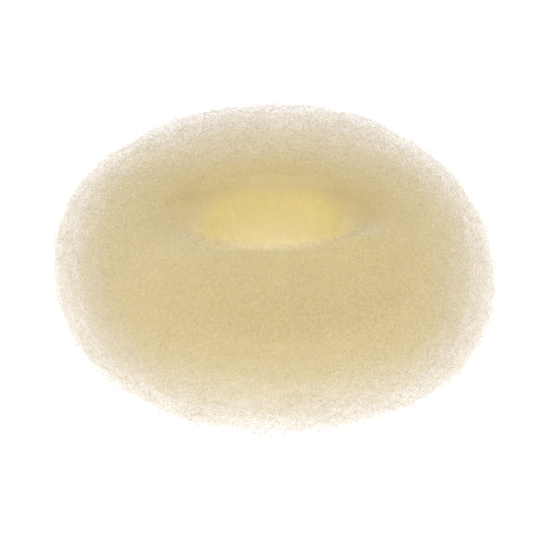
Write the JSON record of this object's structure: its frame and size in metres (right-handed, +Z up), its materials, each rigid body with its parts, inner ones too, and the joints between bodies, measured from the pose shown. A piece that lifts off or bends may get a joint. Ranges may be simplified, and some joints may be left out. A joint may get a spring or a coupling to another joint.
{
  "type": "hair donut bun maker",
  "caption": "Soft blonde filament-mesh ring, a rolled sleeve with an open hole, that hair is wound around to make a bun.",
  "frame": {"origin": "the middle of the ring's outline seen from above, on the surface that it rests on", "axes": "+Z up, along the hole; -Y towards the side that the picture shows nearest; +X to the picture's right"},
  "size_m": [0.0892, 0.086, 0.0401],
  "materials": {
    "blonde_mesh": "loose crimped nylon filament mesh, slightly glossy and see-through at the edges"
  },
  "bodies": {
    "root": {"mesh_ring": "blonde_mesh"}
  },
  "joints": []
}
